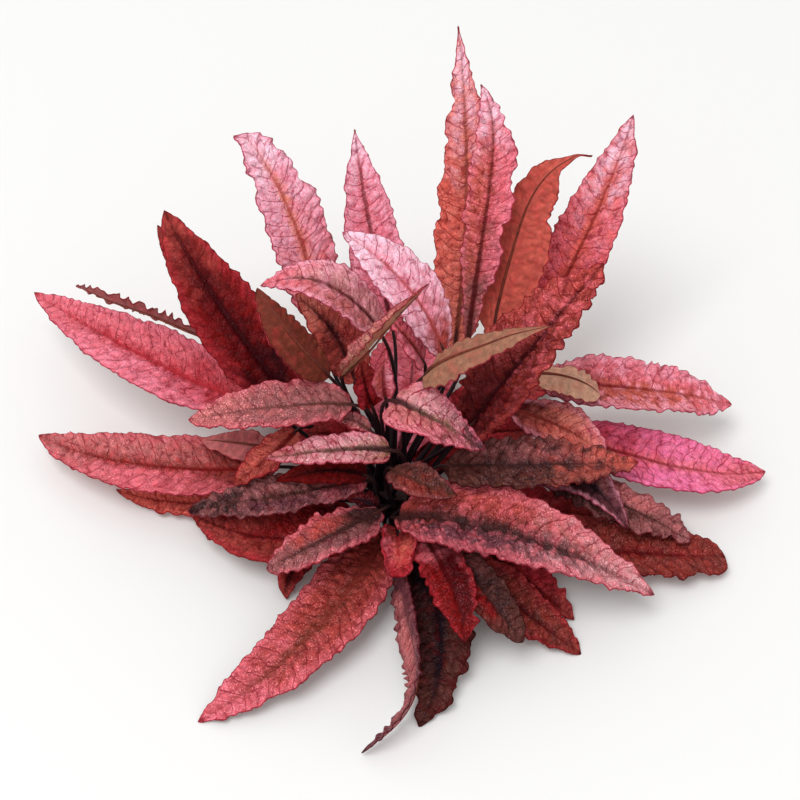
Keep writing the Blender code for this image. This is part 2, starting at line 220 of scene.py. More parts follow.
TURNED = look("rose rose brick brick brick wine terracotta rose")
LOOKS = {
    "tall salmon": look(
        "coral coral terracotta salmon blush salmon terracotta coral clay",
        base_reach=0.4,
    ),
    "tall pink": look("terracotta rose madder dusk blush rose dusk carnation wine"),
    "rose salmon": look("rose rose coral crimson blush coral terracotta rose"),
    "clear pink": look("carnation carnation rose carnation blush pink antique pink wine"),
    "pale salmon": look(
        "pink pink salmon coral blush carnation antique pink madder",
        base_reach=0.5, patchiness=0.3,
    ),
    "dark red": look(
        "blood blood wine garnet madder wine brick crimson garnet",
        core_width=0.55, speckles=0.25, vein_strength=0.4, groove=1.8,
    ),
    "deep red": look("blood blood garnet wine blood blood brick blood garnet", speckles=0.2),
    "shaded red": look("crimson crimson blood blood madder blood brick crimson garnet", speckles=0.2),
    "broad red": look(
        "madder brick wine wine madder rose brick madder garnet",
        base_reach=0.75, core_width=0.1, patchiness=0.45, speckles=0.7, groove=1.6,
    ),
    "strong pink": look(
        "carnation rose crimson crimson rose rose antique carnation crimson",
        base_reach=0.5, groove=1.2,
    ),
    "pink above": look("rose terracotta terracotta brick rose pink antique pink"),
    "magenta": look(
        "magenta magenta rose crimson rose carnation antique magenta",
        base_reach=0.5, patchiness=0.3, speckles=0.4,
    ),
    "red": look("crimson blood blood wine madder wine brick crimson wine", speckles=0.4),
    "brick red": look("brick brick wine madder brick umber brick crimson wine"),
    "low red": look("brick blood blood wine madder blood brick crimson wine", speckles=0.4),
    "brick pink": look(
        "madder madder clay brick rose brick dusk rose brick",
        base_reach=0.5, patchiness=0.3, speckles=0.9,
    ),
    "red brown": look("brick brick blood wine brick umber brick brick wine"),
    "rose brown": look(
        "madder plum bark madder mauve rose dusk rose bark",
        base_reach=0.2, core_width=0.45, patchiness=0.4, speckles=0.8, groove=2.8,
    ),
    "brown mauve": look("antique umber umber ink dusk dusk umber dusk bark", patchiness=0.6),
    "mauve brown": look("plum dusk umber rose bark dusk umber dusk bark", patchiness=0.7),
    "puckered brown": look(
        "dusk umber bark umber terracotta bark umber umber bark",
        base_reach=0.5, patchiness=0.8, groove=0.7,
    ),
    "brown": look("bark blood bark dusk umber umber umber umber bark", speckles=0.4),
    "dark brown": look("umber bark ink ink umber wine umber wine ink", speckles=0.3),
    "two reds": look(
        "wine blood wine rose blood wine brick crimson wine",
        base_reach=0.3, core_width=0.1, patchiness=0.2, speckles=0.4,
    ),
    "dusty brown": look(
        "dusk madder umber bark dusk plum dusk rose bark",
        base_reach=0.5, patchiness=0.4, speckles=0.8,
    ),
    "dusty rose": look(
        "dusk dusk dusk dusk antique antique dusk rose umber",
        base_reach=0.5, speckles=1,
    ),
    "veined mauve": look(
        "mauve mauve olive olive antique carnation dusk carnation ink",
        core_width=0.18, patchiness=0.4, speckles=0.8, vein_strength=1, groove=1.6,
    ),
    "arching pink": look("antique mauve dusk mauve rose pink dusk pink wine", patchiness=0.4),
    "pale pink": look("pink pink carnation madder blush blush antique blush madder"),
    "orange red": look("brick coral brick coral brick terracotta brick crimson"),
    "orange brown": look("brick madder garnet terracotta salmon madder umber terracotta garnet"),
    # Its wine base is painted shade where the leaf lies under its neighbours
    "salmon": look("salmon coral terracotta wine rose salmon terracotta pink brick", base_reach=0.4),
    "olive": look("antique olive olive olive antique tan olive antique umber"),
    # Nearly black over most of the blade: painted shade, as this leaf lies in deep shade behind its
    # pink edge
    "rimmed": look("dusk garnet ink ink plum ink umber pink ink", speckles=0.2),
    "dark bud": look("umber brick umber umber umber brick umber dusk umber"),
    "red bud": look("coral rose coral madder crimson crimson crimson rose crimson"),
    "crumpled": look("garnet wine ink ink wine wine wine garnet ink"),
    "young rose": look("carnation carnation terracotta rose rose rose dusk rose"),
    "young strip": look("terracotta pink rose rose rose rose dusk carnation", base_reach=0.6),
    "mauve strip": look("plum antique dusk plum plum dusk dusk plum plum"),
    "long rose": look(
        "rose antique brick brick antique crimson antique rose",
        base_reach=0.5, patchiness=0.35,
    ),
    "veined rose": look(
        "mauve antique olive antique plum carnation dusk carnation ink",
        core_width=0.18, patchiness=0.4, speckles=0.8, vein_strength=1, groove=1.6,
    ),
    "low pink": look(
        "carnation carnation rose carnation rose crimson brick crimson garnet",
        speckles=0.2,
    ),
    "low coral": look("coral coral coral madder coral terracotta antique coral", base_reach=0.5),
    "dark strip": look("antique madder plum antique antique madder dusk madder plum"),
    "turned salmon": TURNED._replace(below="terracotta"),
    "turned olive": TURNED._replace(below="olive"),
    "turned clay": TURNED._replace(below="clay"),
    "turned rose": TURNED._replace(below="antique"),
    "turned tan": TURNED._replace(below="tan"),
}


class Waves(NamedTuple):
    """Uneven waves along the edges of a blade, the shifts keeping the noise of the two sides and
    that of the other waves apart."""

    length: float
    height: float
    side_shift: float
    shift: float


# How the ruffles drift along the edge and change in strength, and the lobes, notches and nibbles
# of the outline
RUFFLE_DRIFT = Waves(11, 1.2, 9, 0)
RUFFLE_CHANGE = Waves(8, 0.9, 9, 20)
LOBES = Waves(7, 1.1, 5, 40)
NOTCHES = Waves(2.4, 0.8, 5, 50)
NIBBLES = Waves(0.9, 0.25, 5, 60)


class Leaf(NamedTuple):
    """One leaf, placed by points of its midrib, each a heading anticlockwise from +X, a reach from
    the crown's axis and a height. Taper is above 1 for a long thin tip, and rounding is small for a
    full, round base. Roll turns the blade about its midrib, at its start and at its tip, fold lifts
    both halves from the midrib, and curl bends their edges, all in degrees. Ruffle and pucker are
    shares of the usual ones, and hook is how far the very tip bends to its left."""

    name: str
    look: str
    whorl: int
    midrib: tuple
    half_width: float
    taper: float = 0.9
    rounding: float = 0.5
    roll: tuple = (0, 0)
    fold: float = 14
    curl: float = -10
    ruffle: float = 1
    pucker: float = 1
    hook: float = 0


BACK_LEAVES = (
    Leaf("back_tallest", "tall salmon", 3, ((64, 44, 32), (71, 69, 78), (79, 103, 114)), 9.5, 1.1,
         ruffle=1.5, pucker=1.2),
    Leaf("back_second", "tall pink", 3, ((55, 40, 40), (60, 55, 80), (64, 68, 102), (71, 80, 112)), 7,
         1.0, 0.8, ruffle=1.8),
    Leaf("back_turned", "turned salmon", 3, ((48, 46, 42), (52, 61, 72), (52, 73, 88), (46, 86, 98)),
         12, 1.6, roll=(175, 200), fold=10, ruffle=1.5, pucker=1.5, hook=2),
    Leaf("back_right", "rose salmon", 2, ((46, 62, 26), (46, 90, 62), (49, 115, 90)), 11, ruffle=1.2,
         pucker=1.3),
    Leaf("back_middle", "clear pink", 3, ((91, 44, 36), (98, 64, 72), (99, 81, 90)), 9, 1.3),
    Leaf("back_left_pink", "pale salmon", 3,
         ((119, 50, 38), (117, 64, 59), (119, 77, 79), (122, 91, 92)), 10, 0.75, ruffle=1.6, hook=3),
    Leaf("back_left_dark", "dark red", 3, ((160, 32, 34), (148, 66, 61), (142, 91, 78)), 11.5,
         roll=(-25, -25), fold=22, ruffle=1.2, pucker=1.2),
    Leaf("back_left_red", "dark red", 2, ((138, 50, 30), (141, 79, 51), (140, 99, 64)), 7,
         roll=(-15, -15)),
    Leaf("back_low_left", "shaded red", 0, ((134, 13, 4), (131, 45, 9), (129, 80, 0)), 12),
    Leaf("back_low_middle", "low pink", 0, ((87, 13, 7), (83, 45, 12), (86, 80, 0)), 14.5, 0.7, 0.6),
    Leaf("back_low_right", "shaded red", 0, ((52, 13, 4), (48, 48, 9), (42, 84, 0)), 11),
)

RIGHT_LEAVES = (
    Leaf("right_broad", "broad red", 4, ((352, 22, 42), (3, 41, 75), (17, 64, 93)), 14, fold=26,
         ruffle=2.2, pucker=1.6),
    Leaf("right_upper", "pink above", 1, ((30, 54, 30), (17, 86, 28), (16, 115, 13)), 11.5, 0.8,
         ruffle=1.4),
    Leaf("right_magenta", "magenta", 0, ((19, 56, 15), (3, 91, 14), (4, 120, 7)), 11.5, 0.85,
         ruffle=0.8, pucker=1.3),
    Leaf("right_low_red", "red brown", 0, ((336, 46, 6), (343, 82, 7), (348, 106, 3)), 9.5, 0.5,
         ruffle=2, pucker=1.3),
    Leaf("right_low_mauve", "brown mauve", 0, ((2, 48, 12), (351, 74, 14), (348, 95, 8)), 8, 0.7,
         ruffle=2, pucker=2.2),
    Leaf("right_salmon", "salmon", 2, ((24, 40, 29), (8, 56, 28), (2, 66, 21)), 9, 0.8, ruffle=1.3),
    Leaf("right_tan_turned", "turned tan", 3, ((29, 46, 38), (19, 59, 40), (15, 67, 34)), 6.5, 0.5,
         roll=(170, 180), ruffle=1.5),
    Leaf("right_puckered", "puckered brown", 2, ((328, 18, 33), (343, 42, 37), (358, 76, 26)), 10.5,
         0.7, ruffle=2, pucker=2.6),
    # Its look paints the deep shade that the leaf lies in
    Leaf("right_rimmed", "rimmed", 1, ((352, 32, 21), (352, 56, 26), (343, 75, 17)), 8, 0.8),
    Leaf("right_shaded", "shaded red", 0, ((350, 12, 5), (353, 42, 5), (356, 72, 0)), 9.5, 0.8),
    Leaf("right_inner", "shaded red", 2, ((32, 24, 20), (24, 37, 19), (20, 51, 17)), 6, 0.8),
)

FRONT_LEAVES = (
    Leaf("front_right_large", "rose brown", 2, ((273, 22, 23), (317, 49, 30), (331, 90, 13)), 14, 0.8,
         fold=24, ruffle=1.3, pucker=2),
    Leaf("front_right_short", "red", 0, ((322, 36, 5), (321, 56, 5), (321, 71, 1)), 7, ruffle=1.5),
    Leaf("front_right_red", "brick red", 0, ((300, 26, 7), (311, 57, 6), (315, 80, 0)), 9, 0.8,
         ruffle=1.3, pucker=1.5),
    Leaf("front_right_brown", "brown", 1, ((299, 36, 20), (299, 59, 22), (302, 72, 14)), 6.5, 0.7,
         pucker=2.2),
    Leaf("front_red_edge", "two reds", 1, ((287, 30, 22), (289, 54, 26), (288, 67, 18)), 7.5,
         ruffle=1.8),
    Leaf("front_dark", "dark brown", 0, ((284, 25, 8), (284, 58, 8), (275, 82, 0)), 9.5, 0.75,
         ruffle=2.2, pucker=1.5),
    Leaf("front_on_edge", "mauve strip", 0,
         ((271, 28, 8), (275, 58, 15), (274, 78, 13), (264, 92, 2)), 7.5, 0.7, roll=(68, 80),
         ruffle=1.4),
    Leaf("front_left_large", "brick pink", 0, ((258, 17, 8), (246, 60, 10), (234, 99, 0)), 12, 0.8,
         ruffle=1.3, pucker=1.7),
    Leaf("front_left_under", "dark red", 0, ((222, 34, 6), (223, 44, 5), (228, 50, 1)), 4.5),
    Leaf("front_left_small", "dusty brown", 2, ((258, 22, 26), (237, 41, 28), (224, 54, 18)), 8, 0.7,
         ruffle=1.5, pucker=1.4),
)

LEFT_LEAVES = (
    Leaf("left_low_red", "low red", 0, ((222, 17, 12), (212, 42, 13), (186, 66, 6)), 11.5, 0.75, 0.4),
    Leaf("left_mauve", "mauve brown", 2, ((224, 12, 24), (200, 35, 22), (191, 66, 14)), 8, 0.6,
         ruffle=1.5, pucker=2.2),
    Leaf("left_long", "long rose", 1, ((174, 38, 15), (176, 81, 14), (169, 119, 8)), 12, 0.8, 0.45,
         ruffle=0.7, pucker=1.2),
    Leaf("left_ground", "low coral", 0, ((181, 34, 3), (181, 67, 3), (176, 91, 0)), 6),
    Leaf("left_upper", "strong pink", 1, ((155, 48, 25), (154, 92, 28), (149, 143, 22)), 13, 0.85,
         ruffle=0.7, pucker=1.2),
    Leaf("left_on_edge", "dark strip", 1, ((143, 68, 32), (149, 98, 39), (149, 123, 36)), 3.8, 0.6,
         roll=(75, 80), ruffle=2.2),
    Leaf("left_middle", "dusty rose", 4, ((174, 13, 49), (178, 38, 48), (176, 64, 38)), 9.5, 0.75,
         ruffle=1.2, pucker=1.2),
    Leaf("left_tan_small", "dusty rose", 3, ((203, 8, 42), (184, 13, 44), (178, 19, 43)), 3, 0.8),
    Leaf("left_small", "veined mauve", 3, ((262, 10, 41), (208, 23, 42), (193, 41, 36)), 6.5, 0.8,
         0.35),
    Leaf("left_turned_tan", "turned rose", 2, ((173, 41, 23), (172, 51, 23), (170, 63, 20)), 6, 0.8,
         roll=(170, 180)),
    Leaf("left_orange", "orange red", 2, ((165, 32, 28), (183, 40, 27), (188, 51, 20)), 6, 0.8),
    Leaf("left_shaded", "deep red", 2, ((228, 13, 28), (204, 22, 30), (193, 38, 24)), 6, 0.8),
    Leaf("left_inner", "shaded red", 3, ((168, 14, 29), (168, 21, 31), (168, 28, 30)), 6, 0.8),
)

CENTRE_LEAVES = (
    Leaf("centre_pale", "pale pink", 5, ((41, 20, 60), (83, 20, 84), (117, 34, 94)), 10.5, 0.8),
    Leaf("centre_arching", "arching pink", 5, ((102, 18, 62), (132, 30, 80), (146, 49, 74)), 9, 0.8),
    Leaf("centre_turned", "turned clay", 4, ((155, 22, 53), (163, 33, 72), (153, 46, 80)), 7, 0.8,
         roll=(170, 190)),
    Leaf("centre_orange", "orange brown", 4, ((125, 22, 40), (126, 32, 54), (134, 44, 66)), 9, 0.8),
    Leaf("centre_folded", "olive", 5, ((157, 17, 57), (186, 6, 80), (34, 12, 97)), 4, 0.8, fold=60),
    Leaf("centre_olive", "turned olive", 5, ((340, 9, 67), (350, 25, 82), (357, 46, 89)), 7.5, 1.2,
         0.35, roll=(170, 190)),
    Leaf("centre_ovate", "veined rose", 4, ((270, 8, 62), (307, 18, 62), (331, 31, 48)), 10, 0.8,
         0.35),
    Leaf("crown_small", "dark bud", 2, ((267, 14, 37), (290, 23, 40), (309, 30, 36)), 6, 0.8),
)

YOUNG_LEAVES = (
    Leaf("young_rolled", "red bud", 1, ((272, 24, 17), (272, 34, 22), (272, 42, 20)), 9, 0.35, 0.4,
         fold=10, curl=90, ruffle=1.5, pucker=1.5),
    Leaf("young_crumpled", "crumpled", 1, ((255, 18, 20), (244, 20, 26), (228, 22, 25)), 4, 0.8),
    Leaf("young_centre", "young rose", 5, ((51, 14, 58), (64, 10, 70), (99, 13, 77)), 6, 0.8),
    Leaf("young_strip", "young strip", 5, ((118, 6, 48), (119, 7, 58), (107, 9, 67)), 4, 0.8, fold=40),
    Leaf("young_red", "shaded red", 4, ((150, 8, 45), (148, 11, 54), (140, 13, 62)), 5.5, 0.8,
         fold=30),
)

LEAVES = BACK_LEAVES + RIGHT_LEAVES + FRONT_LEAVES + LEFT_LEAVES + CENTRE_LEAVES + YOUNG_LEAVES


def daylight(red, green, blue):
    """A colour given in the screen's 0 to 255 steps, as the linear values that Blender mixes."""
    shares = (step / 255 for step in (red, green, blue))
    return tuple(
        share / 12.92 if share <= 0.04045 else ((share + 0.055) / 1.055) ** 2.4 for share in shares
    )


def length_property(name, description, default, least):
    return FloatProperty(
        name=name, description=description, default=default, min=least, precision=5, unit="LENGTH"
    )


def colour_property(name, description, default):
    return FloatVectorProperty(
        name=name, description=description, default=default, min=0, max=1, size=3, subtype="COLOR"
    )


class LeafSizes(bpy.types.PropertyGroup):
    """Sizes of the blades."""

    thickness: length_property("Thickness", "Thickness of every blade", 0.35 * MM, 0.1 * MM)
    mesh_step: length_property(
        "Mesh step", "Distance between the rows of a blade's mesh", 0.55 * MM, 0.2 * MM
    )
    ruffle_height: length_property(
        "Ruffle height", "How far the edge waves up and down", 0.5 * MM, 0
    )
    ruffle_length: length_property(
        "Ruffle length", "Distance from one wave of the edge to the next", 4.4 * MM, 1 * MM
    )
    pucker_height: length_property(
        "Pucker height", "How far the blade bulges between its veins", 0.7 * MM, 0
    )
    vein_spacing: length_property(
        "Vein spacing", "Distance between the side veins of a broad leaf", 4.6 * MM, 1 * MM
    )


class PlantColours(bpy.types.PropertyGroup):
    """Colours that the leaves are mixed from."""

    __annotations__ = {
        name: colour_property(name.capitalize(), words, daylight(*steps))
        for name, (steps, words) in PALETTE.items()
    }


class StageSettings(bpy.types.PropertyGroup):
    """The floor, the light, the sky and the camera."""

    floor_size: length_property("Floor size", "Length of the floor's sides", 8, 1)
    floor_colour: colour_property("Floor colour", "Colour of the floor", (0.86, 0.86, 0.85))
    sky_strength: FloatProperty(
        name="Sky strength",
        description="Strength of the light from all around",
        default=0.75,
        min=0,
    )
    key_power: FloatProperty(
        name="Key light",
        description="Power of the large soft light above the plant",
        default=22,
        min=0,
        unit="POWER",
    )
    camera_distance: length_property(
        "Camera distance", "Distance of the camera from the middle of the plant", 0.57, 0.1
    )
    camera_elevation: FloatProperty(
        name="Camera elevation",
        description="Angle at which the camera looks down",
        default=math.radians(50),
        subtype="ANGLE",
    )
    camera_lens: FloatProperty(
        name="Focal length",
        description="Focal length of the camera",
        default=85,
        min=20,
        unit="CAMERA",
    )


def place(point):
    """The position of a (heading, reach, height) point."""
    heading, reach, height = point
    angle = math.radians(heading)
    return Vector((reach * math.cos(angle), reach * math.sin(angle), height))


def smooth(value, low, high):
    """A share that rises smoothly from 0 at the low value to 1 at the high one."""
    share = min(1, max(0, (value - low) / (high - low)))
    return share * share * (3 - 2 * share)


def half_width_at(leaf, t):
    """Half the blade's width a share t of the way from its base to its tip."""
    widest = leaf.rounding / (leaf.rounding + leaf.taper)
    return leaf.half_width * (t / widest) ** leaf.rounding * ((1 - t) / (1 - widest)) ** leaf.taper


def midrib_point(leaf, t):
    """The midrib a share t of the way along the blade, on the one smooth curve through its points."""
    points = [place(point) for point in leaf.midrib]
    spans = len(points) - 1
    for level in range(1, spans + 1):
        points = [
            points[i].lerp(points[i + 1], (t * spans - i) / level) for i in range(len(points) - 1)
        ]
    return points[0]


def blade_curve(leaf, t):
    """Point and direction of the midrib a share t of the way along the blade."""
    ahead, behind = midrib_point(leaf, t + CURVE_STEP), midrib_point(leaf, t - CURVE_STEP)
    return midrib_point(leaf, t), (ahead - behind).normalized()


def stalk_curve(leaf, root, leaving, t):
    """Point and direction a share t of the way up the stalk."""
    end, along = blade_curve(leaf, 0)
    span = (end - root).length
    first, last = leaving * span, along * span
    point = (
        root * (2 * t**3 - 3 * t**2 + 1)
        + first * (t**3 - 2 * t**2 + t)
        + end * (3 * t**2 - 2 * t**3)
        + last * (t**3 - t**2)
    )
    direction = (
        root * (6 * t**2 - 6 * t)
        + first * (3 * t**2 - 4 * t + 1)
        + end * (6 * t - 6 * t**2)
        + last * (3 * t**2 - 2 * t)
    )
    return point, direction.normalized()


def blade_frame(leaf, t):
    """Point, direction, left and upward vectors of the blade a share t of the way along it."""
    point, along = blade_curve(leaf, t)
    chord = place(leaf.midrib[-1]) - place(leaf.midrib[0])
    left = Vector((-chord.y, chord.x, 0))
    left = (left - along * left.dot(along)).normalized()
    roll = leaf.roll[0] + (leaf.roll[1] - leaf.roll[0]) * t
    left.rotate(Quaternion(along, math.radians(roll)))
    return point, along, left, along.cross(left)


def hook_at(leaf, t):
    """How far the blade is bent to its left near its tip."""
    return leaf.hook * smooth(t, HOOK_START, 1) ** 2


def root_headings(whorl):
    """The heading of each leaf's root: the leaf's own, moved aside where two stalks would touch."""
    leaves = [leaf for leaf in LEAVES if leaf.whorl == whorl]
    leaves.sort(key=lambda leaf: leaf.midrib[0][0])
    headings = [leaf.midrib[0][0] for leaf in leaves]
    least = math.degrees((2 * STALK_RADIUS + ROOT_GAP) / WHORLS[whorl][0])
    for _ in range(SPREADING_ROUNDS):
        for k in range(len(leaves)):
            between = (headings[k] - headings[k - 1]) % 360
            short = max(0, least - between)
            headings[k - 1] -= short / 2
            headings[k] += short / 2
    return {leaf.name: heading for leaf, heading in zip(leaves, headings)}


ROOTS = {}
for whorl_number in range(len(WHORLS)):
    ROOTS.update(root_headings(whorl_number))


class Blade:
    """The fine surface of one leaf's blade."""

    def __init__(self, leaf, sizes):
        self.leaf = leaf
        self.seed = SEED_STEP * LEAVES.index(leaf)
        self.thickness = sizes.thickness / MM
        self.ruffle_height = sizes.ruffle_height / MM * leaf.ruffle
        self.ruffle_length = sizes.ruffle_length / MM
        self.pucker_height = sizes.pucker_height / MM * leaf.pucker
        narrow_spacing = VEIN_SPACING_LEAST + VEIN_SPACING_GROWTH * leaf.half_width
        self.vein_spacing = min(sizes.vein_spacing / MM, narrow_spacing)
        points = [midrib_point(leaf, k / LENGTH_STEPS) for k in range(LENGTH_STEPS + 1)]
        self.lengths = [0]
        for first, second in zip(points, points[1:]):
            self.lengths.append(self.lengths[-1] + (second - first).length)

    def length_at(self, t):
        """Distance along the midrib from the blade's base."""
        step = min(LENGTH_STEPS - 1, int(t * LENGTH_STEPS))
        share = t * LENGTH_STEPS - step
        return self.lengths[step] * (1 - share) + self.lengths[step + 1] * share

    def vein_number(self, x, y):
        """Side veins crossed on the way up to here, a whole number on each vein."""
        run = VEIN_SLANT * abs(x) + VEIN_BEND * x * x
        spot = Vector((x / VEIN_WANDER_SIZE, y / VEIN_WANDER_SIZE, self.seed))
        wander = VEIN_WANDER * noise.noise(spot)
        return (y - run) / self.vein_spacing + wander + VEIN_STAGGER * math.tanh(x)

    def cushion(self, x, vein_number):
        """Distance from the seams between the cushions of the blade, up to about 1 in the middle."""
        spot = Vector((x / CUSHION_SIZE, CUSHIONS_PER_VEIN * vein_number, self.seed))
        distances = noise.voronoi(spot)[0]
        return distances[1] - distances[0]

    def waves(self, kind, side, y):
        """Height of uneven waves along one edge."""
        spot = Vector((y / kind.length, kind.side_shift * side, self.seed + kind.shift))
        return kind.height * noise.noise(spot)

    def ruffle(self, side, y):
        """Height of the waves of the edge, a share of the usual one."""
        drift = self.waves(RUFFLE_DRIFT, side, y)
        strength = RUFFLE_STRENGTH + self.waves(RUFFLE_CHANGE, side, y)
        turn = 2 * math.pi * (y / self.ruffle_length + drift) + side
        return strength * (math.sin(turn) + RIPPLE_HEIGHT * math.sin(RIPPLE_RATE * turn + side))

    def sag(self, x, y):
        """Height of the blade's slow waves."""
        spot = Vector((x / SAG_WIDTH, y / SAG_LENGTH, self.seed + SAG_SHIFT))
        return SAG_HEIGHT * noise.noise(spot)

    def midrib_height(self, t):
        """Height of the upper surface in the groove over the midrib."""
        fullness = smooth(half_width_at(self.leaf, t), 0, FULL_HALF_WIDTH)
        return self.thickness / 2 + fullness * (self.sag(0, self.length_at(t)) - GROOVE_DEPTH)

    def lobes(self, side, y):
        """How far the edge stands out from its plain outline."""
        wide = self.waves(LOBES, side, y) + self.waves(NOTCHES, side, y)
        return self.leaf.ruffle * wide + self.waves(NIBBLES, side, y)

    def point(self, section, share, t):
        """A point of the upper surface at a share across, with its place on the flat blade, its
        vein number, its distance from the cushions' seams and that from the edge."""
        leaf = self.leaf
        middle, left, up, half_width, y = section
        side = math.copysign(1, share)
        fullness = smooth(half_width, 0, FULL_HALF_WIDTH)
        half_width += share * share * fullness * self.lobes(side, y)
        start, change = math.radians(leaf.fold), math.radians(leaf.curl)
        end = start + change * abs(share)
        sideways = half_width / change * (math.sin(end) - math.sin(start))
        upward = half_width / change * (math.cos(start) - math.cos(end))
        x = half_width * share
        vein_number = self.vein_number(x, y)
        fading = 1 - PUCKER_FADING * smooth(abs(share), PUCKER_FADING_START, 1)
        inside = smooth(abs(x), 0, PUCKER_START) * fading * fullness
        cushion = self.cushion(x, vein_number)
        bulge = BULGE_SHARE * abs(math.sin(math.pi * vein_number)) ** BULGE_POWER
        pucker = bulge + CUSHION_SHARE * smooth(cushion, 0, CUSHION_RIM) - PUCKER_MIDDLE
        height = self.thickness / 2
        height += self.pucker_height * pucker * inside
        height += self.ruffle_height * self.ruffle(side, y) * abs(share) ** RUFFLE_POWER * fullness
        height -= GROOVE_DEPTH * math.exp(-((x / GROOVE_WIDTH) ** 2)) * fullness
        height += self.sag(x, y) * fullness
        normal = up * math.cos(end) - left * (side * math.sin(end))
        spot = middle + left * (side * sideways + hook_at(leaf, t)) + up * upward + normal * height
        spot.z = max(spot.z, LOWEST)
        return spot, Vector((x, y, 0)), vein_number, cushion, (1 - abs(share)) * half_width


def make_blade(mesh, blade, sizes):
    """Adds the blade to the mesh, its underside with the second material."""
    leaf = blade.leaf
    step = sizes.mesh_step / MM
    columns = max(LEAST_COLUMNS, 2 * round(leaf.half_width / step))
    rows = max(LEAST_ROWS, round(blade.lengths[-1] / step))
    layers = [mesh.verts.layers.float[name] for name in BLADE_LAYERS]
    spot = mesh.verts.layers.float_vector["spot"]
    bmesh.ops.create_grid(mesh, x_segments=columns, y_segments=rows, size=1)
    lines = {}
    for vertex in mesh.verts:
        lines.setdefault(round(vertex.co.y, 5), []).append(vertex)
    for line in lines.values():
        t = min(1, max(0, (line[0].co.y + 1) / 2))
        middle, _, left, up = blade_frame(leaf, t)
        section = (middle, left, up, half_width_at(leaf, t), blade.length_at(t))
        for vertex in line:
            share = -vertex.co.x * (1 + EDGE_CROWDING) + vertex.co.x**3 * EDGE_CROWDING
            share = min(1, max(-1, share))
            point, flat_place, vein_number, cushion, margin = blade.point(section, share, t)
            vertex.co = point * MM
            for layer, value in zip(layers, (share, t, vein_number, cushion, margin)):
                vertex[layer] = value
            vertex[spot] = flat_place + Vector((0, blade.seed, 0))
    for key in (min(lines), max(lines)):
        bmesh.ops.pointmerge(mesh, verts=lines[key], merge_co=lines[key][0].co)
    mesh.normal_update()
    below = bmesh.ops.extrude_face_region(mesh, geom=list(mesh.faces), use_keep_orig=True)["geom"]
    for item in below:
        if isinstance(item, bmesh.types.BMVert):
            item.co -= item.normal * sizes.thickness
        elif isinstance(item, bmesh.types.BMFace):
            item.material_index = 1
    bmesh.ops.reverse_faces(mesh, faces=mesh.faces)


def make_rod(mesh, blade):
    """Adds the stalk and the midrib under the blade to the mesh, with the third material."""
    leaf = blade.leaf
    radius, height, steepness = WHORLS[leaf.whorl]
    heading = ROOTS[leaf.name]
    root = place((heading, radius, height))
    steepness = math.radians(steepness)
    leaving = place((heading, math.cos(steepness), math.sin(steepness)))
    sections = []
    left = blade_frame(leaf, 0)[2]
    for k in reversed(range(STALK_STEPS + 1)):
        t = k / STALK_STEPS
        point, direction = stalk_curve(leaf, root, leaving, t)
        left = (left - direction * left.dot(direction)).normalized()
        swelling = ROOT_SWELLING * (1 - smooth(t, 0, ROOT_SWELLING_END))
        width = STALK_RADIUS * (1 - t) + MIDRIB_RADIUS * t + swelling
        sections.append((point, left, direction.cross(left), width, t))
    point, left, up, width, _ = sections[-1]
    sections.append((point - leaving * ROOT_DEPTH, left, up, width, 0))
    sections.reverse()
    for k in range(1, MIDRIB_STEPS + 1):
        t = MIDRIB_END * k / MIDRIB_STEPS
        point, _, left, up = blade_frame(leaf, t)
        width = MIDRIB_RADIUS + (MIDRIB_END_RADIUS - MIDRIB_RADIUS) * t / MIDRIB_END
        depth = blade.thickness / 2 + width - blade.midrib_height(t)
        point = point - up * (depth * smooth(t, 0, MIDRIB_SINKING)) + left * hook_at(leaf, t)
        sections.append((point, left, up, width, 1 + t))
    along = mesh.verts.layers.float["along"]
    spot = mesh.verts.layers.float_vector["spot"]
    blade_vertices = set(mesh.verts)
    grid = bmesh.ops.create_grid(mesh, x_segments=STALK_SIDES, y_segments=len(sections) - 1, size=1)
    ends = ([], [])
    for vertex in grid["verts"]:
        step = round((vertex.co.y + 1) / 2 * (len(sections) - 1))
        turn = math.pi * vertex.co.x
        point, left, up, width, rise = sections[step]
        spread = left * math.cos(turn) + up * math.sin(turn)
        vertex.co = (point + spread * width) * MM
        vertex.co.z = max(vertex.co.z, LOWEST_ROD * MM)
        vertex[along] = rise
        vertex[spot] = Vector((math.cos(turn) * width, STREAK_LENGTH * rise, 0))
        if step in (0, len(sections) - 1):
            ends[step > 0].append(vertex)
    for face in {face for vertex in grid["verts"] for face in vertex.link_faces}:
        face.material_index = 2
    for end in ends:
        middle = sum((vertex.co for vertex in end), Vector()) / len(end)
        bmesh.ops.pointmerge(mesh, verts=end, merge_co=middle)
    seam = [vertex for vertex in mesh.verts if vertex not in blade_vertices]
    bmesh.ops.remove_doubles(mesh, verts=seam, dist=MERGE_GAP * MM)


def add_object(name, data):
    made = bpy.data.objects.new(name, data)
    bpy.context.scene.collection.objects.link(made)
    return made


def mesh_object(name, mesh, materials):
    """The object of a finished mesh."""
    data = bpy.data.meshes.new(name)
    mesh.to_mesh(data)
    mesh.free()
    for material in materials:
        data.materials.append(material)
    return add_object(name, data)


def finish_piece(name, mesh, materials, node):
    """Makes the object of a mesh, attached to the root body in place of a CAD node, which it hides."""
    for face in mesh.faces:
        face.smooth = True
    made = mesh_object(name, mesh, materials)
    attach(made, "root")
    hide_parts(node)


def make_leaf(leaf, sizes, colours):
    mesh = bmesh.new()
    for layer in BLADE_LAYERS:
        mesh.verts.layers.float.new(layer)
    mesh.verts.layers.float_vector.new("spot")
    blade = Blade(leaf, sizes)
    make_blade(mesh, blade, sizes)
    make_rod(mesh, blade)
    materials = (
        leaf_material(leaf.look, colours),
        underside_material(leaf.look, colours),
        stalk_material(colours),
    )
    finish_piece(f"blade_{leaf.name}", mesh, materials, f"leaf_{leaf.name}")


